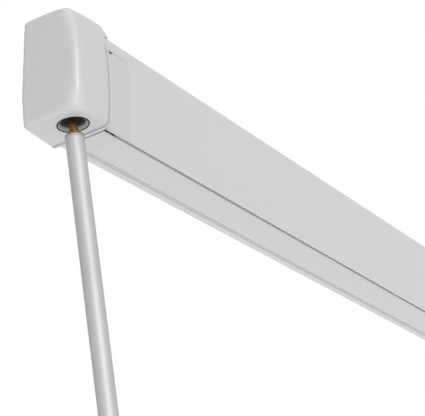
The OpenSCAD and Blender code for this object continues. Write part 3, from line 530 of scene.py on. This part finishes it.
def cap_skin():
    """The left cap's outer surface: an even grid on the hull, with its edges eased."""
    hull = cap_hull()
    tree = BVHTree.FromBMesh(hull)
    hull.free()
    lo, hi = Vector((-HALF, NOSE[1], GRID_LOW)), Vector((-JOINT_X + GRID_PAST, CAP_BACK, CAP_TOP))
    middle, size = (lo + hi) / 2, (hi - lo) / 2
    shape = bmesh.new()
    bmesh.ops.create_cube(shape, size=2)
    bmesh.ops.subdivide_edges(shape, edges=shape.edges, cuts=GRID_CUTS, use_grid_fill=True)
    for v in shape.verts:
        way = v.co * size
        v.co = tree.ray_cast(middle + way * 4, -way.normalized())[0]
    peak = Vector((-HALF, NOSE[5], CAP_TOP))
    ease(shape, shape.verts, EVEN_TIMES)
    ease(shape, [v for v in shape.verts if on_front_edge(v.co)], EDGE_TIMES)
    for reach in PEAK_STEPS:
        ease(shape, [v for v in shape.verts if (v.co - peak).length < reach * MM], PEAK_TIMES)
    return shape, middle


def trim_rim(shape):
    """Cuts the rim square, apart from a shoulder that slopes out over the rail's top."""
    cut(shape, (RIM_X, 0, 0), (1, 0, 0))
    cut(shape, (0, 0, SHOULDER_LOW), (0, 0, 1))
    cut(shape, (0, SHOULDER_BACK, 0), (0, 1, 0))
    cut(shape, (RIM_X, 0, SHOULDER_TOP), (SHOULDER_TOP - SHOULDER_LOW, 0, SHOULDER_OUT), True)
    spots = [(f, f.calc_center_median()) for f in shape.faces]
    past = [f for f, spot in spots
            if spot.x > RIM_X and (spot.z < SHOULDER_LOW or spot.y > SHOULDER_BACK)]
    bmesh.ops.delete(shape, geom=past, context="FACES")


def sink_groove(shape):
    """Sinks the groove beside the rim, and marks its floor for painted shade."""
    for x in GROOVE:
        cut(shape, (x, 0, 0), (1, 0, 0))
    shape.normal_update()
    # The mark carries painted shade: 1 on the groove floor, fading out towards the top
    groove_shade = shape.verts.layers.float.new("painted_groove_shade")
    sunk = [(v, v.normal.copy()) for v in shape.verts if GROOVE[1] - TINY < v.co.x < GROOVE[2] + TINY]
    for v, way in sunk:
        share = min(1, max(0, (GROOVE_TOP - v.co.z) / GROOVE_FADE))
        v.co -= Vector((0, way.y, way.z)).normalized() * GROOVE_DEPTH * share
        v[groove_shade] = share


def cap_mesh(with_eye):
    """A cap at the left end: a shell of even thickness, with or without the crank's eye."""
    shape, middle = cap_skin()
    trim_rim(shape)
    bmesh.ops.recalc_face_normals(shape, faces=shape.faces)
    if sum((f.calc_center_median() - middle).dot(f.normal) for f in shape.faces) < 0:
        bmesh.ops.reverse_faces(shape, faces=shape.faces)
    sink_groove(shape)
    mesh = settled(mesh_of(shape, "cap"), [("SOLIDIFY", {
        "thickness": CAP_WALL, "offset": -1, "use_rim": True, "use_even_offset": True})])
    if with_eye:
        plug = [(0, -EYE_REACH), (EYE_R, -EYE_REACH), (EYE_R, EYE_REACH), (0, EYE_REACH)]
        cutter = bpy.data.objects.new("cutter", mesh_of(lathe(plug, EYE, CRANK_UP, CRANK_IN, 96), "cutter"))
        scene.collection.objects.link(cutter)
        mesh = settled(mesh, [("BOOLEAN", {"operation": "DIFFERENCE", "object": cutter, "solver": "EXACT"})])
        bpy.data.objects.remove(cutter)
    return soften(mesh, MOULDED)


def mirrored(mesh):
    """A mesh of the left end, at the right end."""
    shape = bmesh.new()
    shape.from_mesh(mesh)
    for v in shape.verts:
        v.co.x = -v.co.x
    bmesh.ops.reverse_faces(shape, faces=shape.faces)
    return mesh_of(shape, mesh.name + "_right")


new_piece("left_cap", cap_mesh(True), cap_gloss, "cassette", "cap_plastic", "left_end_cap")
new_piece(
    "right_cap", soften(mirrored(cap_mesh(False)), MOULDED), cap_gloss, "cassette", "cap_plastic",
    "right_end_cap")

# Crank eye: a thin black seal round a grey bevelled bush, and a throat coloured near-black as painted shade
# inside the hole
seat = -CAP_DROP * math.cos(TILT)
crank_lathe("eye_seal", [
    (0.0190, seat), (0.0190, seat - 0.0006), (0.0187, seat - 0.0011), (0.0180, seat - 0.0012),
    (0.0175, seat - 0.0008), (0.0174, seat)],
    seal_black, "cassette", "dark_plastic")
crank_lathe("eye_bush_ring", [
    (0.0174, seat), (0.0174, seat - 0.0003), (0.0172, seat - 0.0005), (0.0168, seat - 0.0004),
    (0.0165, seat), (0.0150, 0.0016), (0.0149, 0.0024), (0.01695, 0.0024), (0.01695, seat)],
    bush_grey, "cassette", "dark_plastic", "eye_bush")
crank_lathe("eye_throat", [
    (0.0149, 0.0024), (0.0136, 0.0046), (0.0132, 0.0060), (0.0132, 0.015), (0.01695, 0.015), (0.01695, 0.0024)],
    throat_grey, "cassette", "dark_plastic")

# Crank: tip, tube and grip are turned; the tip keeps its hexagon
HEX_FLATS, HEX_LOW, HEX_HIGH, HEX_END, HEX_TAPER = 0.009, 0.0015, 0.0275, 0.0279, 0.8
HEX_R = HEX_FLATS / 2 / math.cos(math.pi / 6)


def crank_tip():
    """The brass tip: a turned stem with a hexagon on it."""
    shape = lathe([
        (0, 0.0025), (0.0045, 0.0025), (0.0050, 0.0022), (0.0055, 0.0015), (0.0055, -0.0115), (0.0058, -0.0125),
        (0.0058, -0.0140), (0.0068, -0.0147), (0.0096, -0.0152), (0.0110, -0.0156), (0.0112, -0.0161),
        (0.0112, -0.0166), (0.0109, -0.0170), (0.0095, -0.0171), (0.0095, -0.0565), (0, -0.0565)],
        EYE, CRANK_UP, CRANK_IN)
    hexagon = bmesh.new()
    ring = [(HEX_R * math.cos(math.pi / 3 * k), HEX_R * math.sin(math.pi / 3 * k)) for k in range(6)]
    side = CRANK_UP.cross(CRANK_IN)
    low, high = [[hexagon.verts.new(EYE + CRANK_IN * x + side * y + CRANK_UP * h) for x, y in ring]
                 for h in (HEX_LOW, HEX_HIGH)]
    tip = [hexagon.verts.new(EYE + (CRANK_IN * x + side * y) * HEX_TAPER + CRANK_UP * HEX_END)
           for x, y in ring]
    hexagon.faces.new(low[::-1])
    hexagon.faces.new(tip)
    for k in range(6):
        j = (k + 1) % 6
        hexagon.faces.new((low[k], low[j], high[j], high[k]))
        hexagon.faces.new((high[k], high[j], tip[j], tip[k]))
    bmesh.ops.recalc_face_normals(hexagon, faces=hexagon.faces)
    extra = mesh_of(hexagon, "hexagon")
    shape.from_mesh(extra)
    return soften(mesh_of(shape, "crank_tip"), TURNED)


new_piece("brass_tip", crank_tip(), brass, "crank", "brass", "crank_tip")
TUBE_TOP, TUBE_LOW = -0.0171, -1.1805
crank_lathe("crank_rod", [
    (0.0104, TUBE_TOP), (0.0109, TUBE_TOP - 0.0003), (0.0111, TUBE_TOP - 0.0009), (0.0111, TUBE_TOP - 0.0017),
    (0.0109, TUBE_TOP - 0.0020), (0.0102, TUBE_TOP - 0.0022), (0.0102, TUBE_TOP - 0.0034),
    (0.0110, TUBE_TOP - 0.0037), (0.0110, TUBE_LOW + 0.0005), (0.0106, TUBE_LOW),
    (0.0097, TUBE_LOW), (0.0097, TUBE_TOP)], satin_tube, "crank", "profile", "crank_tube")
machined("crank_knuckle", black_mould, 0.0006)
machined("crank_arm", black_mould, 0.0010)
machined("crank_spindle", zinc_steel)


def grip_outline():
    """The turning grip: a waisted sleeve with shallow rings cut round it."""
    low, top = SLEEVE_TOP - SLEEVE_LEN - 0.0005, SLEEVE_TOP - 0.0005
    bore, wide, waist, ring_depth, first_ring, ring_pitch = 0.00505, 0.01395, 0.00135, 0.0006, 0.021, 0.011
    outline = [(bore, low), (0.0115, low), (0.0120, low + 0.0005), (0.0138, low + 0.0035)]
    for k in range(9):
        h = low + first_ring + k * ring_pitch
        bulge = wide - waist * (1 - (abs(h - (low + top) / 2) / (SLEEVE_LEN / 2)))
        outline += [(bulge, h - 0.0016), (bulge - ring_depth, h - 0.0010),
                    (bulge - ring_depth, h + 0.0010), (bulge, h + 0.0016)]
    return outline + [(0.0138, top - 0.0035), (0.0120, top - 0.0005), (0.0115, top), (bore, top)]


crank_lathe("grip_sleeve", grip_outline(), black_mould, "crank_grip", "dark_plastic", "crank_sleeve",
            base=EYE + CRANK_IN * REACH)

# Rigid pieces that keep the shape of their solids, with broken edges
BROKEN_EDGES = [
    (rail_coat, 0.0005, ["housing"]),
    (arm_alloy, 0.0006, ["left_leg_inner", "right_leg_inner"]),
    (arm_alloy, 0.0016, ["left_upper_tube", "right_upper_tube", "left_fore_tube", "right_fore_tube"]),
    (arm_alloy, 0.0, ["roller_tube"]),
    (cast_alloy, 0.0008, [
        "left_end_plate", "right_end_plate", "gearbox", "wall_bracket_left", "wall_bracket_middle",
        "wall_bracket_right", "left_shoulder_bracket", "right_shoulder_bracket", "left_wrist_bracket",
        "right_wrist_bracket", "left_upper_shoulder", "left_upper_elbow", "left_fore_elbow", "left_fore_wrist",
        "right_upper_shoulder", "right_upper_elbow", "right_fore_elbow", "right_fore_wrist"]),
    (cast_alloy, 0.0003, ["roller_drive_plug", "roller_idle_plug"]),
    (hinge_grey, 0.0005, ["left_leg_hinge", "right_leg_hinge", "left_leg_knuckle", "right_leg_knuckle"]),
    (black_mould, 0.0010, ["left_leg_collar", "right_leg_collar", "left_leg_foot", "right_leg_foot"]),
    (zinc_steel, 0.0003, ["bracket_bolts"]),
    (dark_steel, 0.0, ["worm_shaft"]),
    (zinc_steel, 0.0, ["worm", "left_arm_spring", "right_arm_spring"]),
    (brass, 0.0, ["worm_wheel"])]
for finish, width, names in BROKEN_EDGES:
    for node in names:
        machined(node, finish, width)


def snug_end(x, y, z):
    """The rail's end piece: its outline fills the rail's cut-out, and its foot is cut back towards the cap."""
    foot_band, face_band = 0.0005, 0.0012
    if y < FRONT_IN + NEAR:
        inner, top = RAIL_X - END_LEN + END_ROUND, TOP_Z - END_DROP - END_ROUND
        if abs(x) < inner:
            x -= math.copysign((inner - abs(x)) / END_ROUND * END_GAP, x)
        if z > top:
            z += (z - top) / END_ROUND * END_GAP
        elif z < under_z(FRONT_Y) + foot_band and y < FRONT_Y + face_band:
            z += END_CUT * (abs(x) - RAIL_X + END_LEN) / END_LEN
    return x, y, z


def full_lip(x, y, z):
    """The rail's rear lip, thickened at its foot until it nearly meets the leg and the housing's rim."""
    if z < LIP_LOW + 2 * NEAR and y > LIP_IN - NEAR:
        return x, y + (LIP_FILL if y > LIP_OUT - NEAR else 0), z - LIP_SINK
    return x, y, z


machined("lead_rail", rail_coat, 0.0008, fitted=full_lip)
for side in ("left", "right"):
    machined(side + "_rail_end", end_gloss, 0.0004, fitted=snug_end)


def rounded(corners, radii):
    """A convex outline with its corners rounded."""
    points, steps = [], 5
    for k, corner in enumerate(corners):
        corner = Vector(corner)
        before, after = Vector(corners[k - 1]) - corner, Vector(corners[(k + 1) % len(corners)]) - corner
        half = before.angle(after) / 2
        first = corner + before.normalized() * radii[k] / math.tan(half)
        last = corner + after.normalized() * radii[k] / math.tan(half)
        for i in range(steps + 1):
            u = i / steps
            points.append(first * (1 - u) ** 2 + corner * 2 * u * (1 - u) + last * u * u)
    return points


def below(points, level):
    """The part of an outline under a level."""
    kept = []
    for here, there in zip(points, points[1:] + points[:1]):
        if here.y <= level:
            kept.append(here)
        if (here.y <= level) != (there.y <= level):
            kept.append(here.lerp(there, (level - here.y) / (there.y - here.y)))
    return kept


def leg_tube(side):
    """A leg's outer tube with round edges; the lower leg's bottom wall runs on past the pivot."""
    pivot = LEG_PIVOT_LEFT if side < 0 else LEG_PIVOT_RIGHT

    def low(y):
        return under_z(LEG_Y + y) - pivot + LEG_CLEAR if side < 0 else -LEG_T / 2

    def section(inset, radii):
        w, top = LEG_W / 2 - inset, LEG_T / 2 - inset
        return rounded([(-w, top), (-w, low(-w) + inset), (w, low(w) + inset), (w, top)], radii)

    def place(s, point):
        return side * (LEG_X - s), LEG_Y + LEG_SEAT + point.x, pivot + point.y

    shape = bmesh.new()
    outer = section(0, (0.0015, 0.0012, 0.0026, 0.0015))
    inner = section(LEG_WALL, (0.0006, 0.0010, 0.0010, 0.0006))
    ends = [[[shape.verts.new(place(s, point)) for point in line] for line in (outer, inner)] for s in LEG_SPAN]
    count = len(outer)
    for i in range(count):
        j = (i + 1) % count
        for line in (0, 1):
            shape.faces.new((ends[0][line][i], ends[0][line][j], ends[1][line][j], ends[1][line][i]))
        for end in ends:
            shape.faces.new((end[0][i], end[0][j], end[1][j], end[1][i]))
    if side < 0:
        lip = below(outer, -LIP_CLEAR)
        rows = [[shape.verts.new(place(s, point)) for point in lip] for s in (-LIP_BACK, LEG_SPAN[0] + LIP_LAP)]
        for i in range(len(lip)):
            j = (i + 1) % len(lip)
            shape.faces.new((rows[0][i], rows[0][j], rows[1][j], rows[1][i]))
        for row in rows:
            shape.faces.new(row)
    bmesh.ops.recalc_face_normals(shape, faces=shape.faces)
    return soften(mesh_of(shape, "leg_tube"), TURNED)


for side, name in ((-1, "left_leg"), (1, "right_leg")):
    new_piece(name + "_tube", leg_tube(side), leg_coat, name, "profile", name + "_outer")


# Pieces that follow a rule are grown by Geometry Nodes
class Grower(NodeMaker):
    """A Geometry Nodes tree whose sizes are named inputs."""

    def __init__(self, name, **sizes):
        super().__init__(bpy.data.node_groups.new(name, "GeometryNodeTree"))
        self.name, self.sizes, self.ids = name, sizes, {}
        self.tree.interface.new_socket("Geometry", in_out="OUTPUT", socket_type="NodeSocketGeometry")
        for key, value in sizes.items():
            kind = "NodeSocketInt" if isinstance(value, int) else "NodeSocketFloat"
            self.ids[key] = self.tree.interface.new_socket(key, in_out="INPUT", socket_type=kind).identifier
        self.start = self.tree.nodes.new("NodeGroupInput")

    def size(self, key):
        """A named size, as a socket."""
        return Sock(self, self.start.outputs[key])

    def mesh(self, geometry, finish):
        """Ends the tree, runs it, and gives its result as a plain mesh."""
        real = self.node("GeometryNodeRealizeInstances", {}, {"Geometry": geometry})
        done = self.node("GeometryNodeSetMaterial", {}, {"Geometry": real, "Material": finish.material})
        self.tree.links.new(done.socket, self.tree.nodes.new("NodeGroupOutput").inputs[0])
        holder = bpy.data.objects.new("holder", bpy.data.meshes.new("holder"))
        scene.collection.objects.link(holder)
        modifier = holder.modifiers.new("grow", "NODES")
        modifier.node_group = self.tree
        for key, value in self.sizes.items():
            modifier[self.ids[key]] = value
        made = plain_mesh(holder)
        made.name = self.name
        return made


def wound_cloth():
    """The cloth on the roller: one spiral from the tube out to the roll's face, drawn out along the width."""
    grow = Grower("wound_cloth", turns=15.0, inner=TUBE_R + 0.0001, outer=ROLL_R - 0.0002, width=CLOTH_W)
    spiral = grow.node("GeometryNodeCurveSpiral", {}, {
        "Resolution": 40, "Rotations": grow.size("turns"), "Start Radius": grow.size("inner"),
        "End Radius": grow.size("outer"), "Height": 0.0, "Reverse": True})
    way = grow.node("GeometryNodeSplineParameter", {}, {}, "Length")
    marked = grow.node("GeometryNodeStoreNamedAttribute", {"data_type": "FLOAT", "domain": "POINT"}, {
        "Geometry": spiral, "Name": "cloth_way", "Value": way})
    placed = grow.node("GeometryNodeTransform", {}, {
        "Geometry": marked, "Rotation": (math.pi / 2, 0, math.pi / 2),
        "Translation": (-CLOTH_W / 2, ROLLER.y, ROLLER.z)})
    line = grow.node("GeometryNodeCurveToMesh", {}, {"Curve": placed})
    drawn_out = grow.node("ShaderNodeCombineXYZ", {}, {"X": grow.size("width")})
    sheet = grow.node("GeometryNodeExtrudeMesh", {"mode": "EDGES"}, {
        "Mesh": line, "Offset": drawn_out, "Offset Scale": 1.0})
    return settled(grow.mesh(sheet, cloth_grey), [("SOLIDIFY", {"thickness": CLOTH_T * 0.7, "offset": 0})])


def seam_row(name, count, pitch, length, thick, middle, finish):
    """A row of stitches along the width, centred on a point."""
    grow = Grower(name, count=count, pitch=pitch, length=length, thick=thick)
    step = grow.node("ShaderNodeCombineXYZ", {}, {"X": grow.size("pitch")})
    row = grow.node("GeometryNodeMeshLine", {"mode": "OFFSET"}, {
        "Count": grow.size("count"), "Start Location": (-(count - 1) * pitch / 2, middle.y, middle.z),
        "Offset": step})
    bead = grow.node("GeometryNodeMeshUVSphere", {}, {"Segments": 8, "Rings": 5, "Radius": 0.5})
    slim = grow.node("ShaderNodeCombineXYZ", {}, {
        "X": grow.size("length"), "Y": grow.size("thick"), "Z": grow.size("thick")})
    set_out = grow.node("GeometryNodeInstanceOnPoints", {}, {"Points": row, "Instance": bead, "Scale": slim})
    return soften(grow.mesh(set_out, finish), SEWN)


def drawn_sheet(name, outline, breaks, ways):
    """A closed (y, z) outline drawn out along the width, with the cloth's length marked at its points."""
    shape = bmesh.new()
    rows = [[shape.verts.new((x, y, z)) for y, z in outline] for x in breaks]
    for here, there in zip(rows, rows[1:]):
        for i in range(len(outline)):
            j = (i + 1) % len(outline)
            shape.faces.new((here[i], here[j], there[j], there[i]))
    shape.faces.new(rows[0][::-1])
    shape.faces.new(rows[-1])
    bmesh.ops.recalc_face_normals(shape, faces=shape.faces)
    mesh = mesh_of(shape, name)
    mark = mesh.attributes.new("cloth_way", "FLOAT", "POINT")
    mark.data.foreach_set("value", ways * len(breaks))
    return soften(mesh, EDGED)


roll = new_piece("cloth_roll", wound_cloth(), cloth_grey, "roller", "cloth", "fabric_roll")

WIDTH_STEPS = 24
WIDTH_BREAKS = [CLOTH_W * (k / WIDTH_STEPS - 0.5) for k in range(WIDTH_STEPS + 1)]
RUN_TOP = ROLLER.z + ROLL_R + 0.0003
RUN_STEPS = 20


def run_line(height):
    """The run's line from the roll to the rail, raised by a height."""
    return [(RUN_BACK + (RUN_FRONT - RUN_BACK) * k / RUN_STEPS,
             RUN_TOP + (HEM.z - RUN_TOP) * k / RUN_STEPS + height) for k in range(RUN_STEPS + 1)]


# The run's weave has the right scale when the awning is open
run_way = [CLOTH_WOUND + RUN_DRAWN * k / RUN_STEPS for k in range(RUN_STEPS + 1)]
run_mesh = drawn_sheet(
    "cloth_run", run_line(0) + run_line(CLOTH_T)[::-1], WIDTH_BREAKS, run_way + run_way[::-1])
run = new_piece("cloth_run", run_mesh, cloth_grey, None, "cloth", "fabric_run")
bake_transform(run)


def hem_line():
    """Middle line of the cloth that is turned round the hem cord and sewn to itself in a flat tail."""
    first, turn, steps, tuck = 14, 344, 28, 0.0008
    bend = [(HEM.y + (HEM_R - HEM_PLY / 2) * math.cos(a), HEM.z + (HEM_R - HEM_PLY / 2) * math.sin(a))
            for a in (math.radians(first + turn * k / steps) for k in range(steps + 1))]
    near, far = HEM.y + HEM_R + tuck, HEM.y + HEM_TAIL
    upper, lower = HEM.z + CLOTH_T - HEM_PLY / 2, HEM.z + HEM_PLY / 2
    return [(far, upper), (near, upper)] + bend + [(near, lower), (far, lower)]


def thickened(line, thick):
    """Both sides of a middle line, as one closed outline."""
    sides = [], []
    for k, point in enumerate(line):
        before, after = line[max(k - 1, 0)], line[min(k + 1, len(line) - 1)]
        along = Vector((after[0] - before[0], after[1] - before[1])).normalized()
        for side, sign in zip(sides, (1, -1)):
            side.append((point[0] - sign * along.y * thick / 2, point[1] + sign * along.x * thick / 2))
    return sides[0] + sides[1][::-1]


# How far along the cloth the hem begins
HEM_WAY = 2.131
hem_points = hem_line()
hem_way = [HEM_WAY + HEM_FLAT * k / len(hem_points) for k in range(len(hem_points))]
hem_mesh = drawn_sheet("cloth_hem", thickened(hem_points, HEM_PLY), WIDTH_BREAKS, hem_way + hem_way[::-1])
hem = new_piece("cloth_hem", hem_mesh, cloth_grey, "lead_rail", "cloth", "fabric_hem")
CORD_R, CORD_EDGE, CORD_END = 0.0026, 0.0004, CLOTH_W / 2
cord_outline = [
    (0, -CORD_END), (CORD_R - CORD_EDGE, -CORD_END), (CORD_R, CORD_EDGE - CORD_END),
    (CORD_R, CORD_END - CORD_EDGE), (CORD_R - CORD_EDGE, CORD_END), (0, CORD_END)]
cord_mesh = mesh_of(lathe(cord_outline, HEM, Vector((1, 0, 0)), Vector((0, 1, 0)), 24), "hem_cord")
new_piece("hem_cord", soften(cord_mesh), seal_black, "lead_rail", "dark_plastic")
STITCH_COUNT, STITCH_PITCH, STITCH_LEN, STITCH_T, STITCH_IN = 590, 0.004, 0.0030, 0.0007, 0.002
seam_middle = Vector((0, HEM.y + HEM_TAIL - STITCH_IN, HEM.z + CLOTH_T))
seam_mesh = seam_row("hem_stitches", STITCH_COUNT, STITCH_PITCH, STITCH_LEN, STITCH_T, seam_middle, thread)
stitches = new_piece("hem_stitches", seam_mesh, thread, "lead_rail", "cloth")

# The floor lies under the feet of the drawn-out legs
FOOT_PIVOT, LEG_DRAW, FOOT_DROP = 1.147, 0.9, 0.005
floor_z = LEG_PIVOT_LEFT - FOOT_PIVOT - LEG_DRAW - FOOT_DROP

# Light: an even white surround, a broad soft sun from the viewer's side, one from above, and a glowing floor
AMBIENT, FLOOR_GLOW, FLOOR_HALF = 0.06, 0.57, 14
SUNS = [("key", Vector((-0.62, -0.71, 0.30)), 1.95, 26), ("overhead", Vector((-0.1, -0.15, 1)), 0.9, 60)]


def make_light():
    """The surround is white where the camera sees it, also in mirrors and glass, and dim as a light."""
    world = bpy.data.worlds.new("surround")
    scene.world = world
    world.use_nodes = True
    maker = NodeMaker(world.node_tree)
    back = maker.tree.nodes["Background"]
    back.inputs["Color"].default_value = (1, 1, 1, 1)
    direct, mirror, glass = [maker.node("ShaderNodeLightPath", {}, {}, ray)
                             for ray in ("Is Camera Ray", "Is Glossy Ray", "Is Transmission Ray")]
    strength = maker.node("ShaderNodeMapRange", {}, {
        "Value": direct.either(mirror).either(glass), "To Min": AMBIENT})
    maker.tree.links.new(strength.socket, back.inputs["Strength"])
    for name, towards, power, spread in SUNS:
        lamp = bpy.data.lights.new(name, "SUN")
        lamp.energy, lamp.angle = power, math.radians(spread)
        holder = bpy.data.objects.new(name, lamp)
        holder.rotation_mode = "QUATERNION"
        holder.rotation_quaternion = towards.to_track_quat("Z", "Y")
        scene.collection.objects.link(holder)


def make_floor():
    """A pale floor, which isn't part of the object."""
    shape = bmesh.new()
    bmesh.ops.create_grid(shape, x_segments=8, y_segments=8, size=FLOOR_HALF)
    for v in shape.verts:
        v.co.z = floor_z
    floor = bpy.data.objects.new("floor", mesh_of(shape, "floor"))
    scene.collection.objects.link(floor)
    pale = Finish("pale_floor", Roughness=0.9, Specular_IOR_Level=0.1, Emission_Strength=FLOOR_GLOW)
    pale.shader.inputs["Emission Color"].default_value = (1, 1, 1, 1)
    pale.feed("Base Color", pale.mix(pale.noise(0.8, 3.0), grey(0.80), grey(0.83)))
    floor.data.materials.append(pale.material)


make_light()
make_floor()
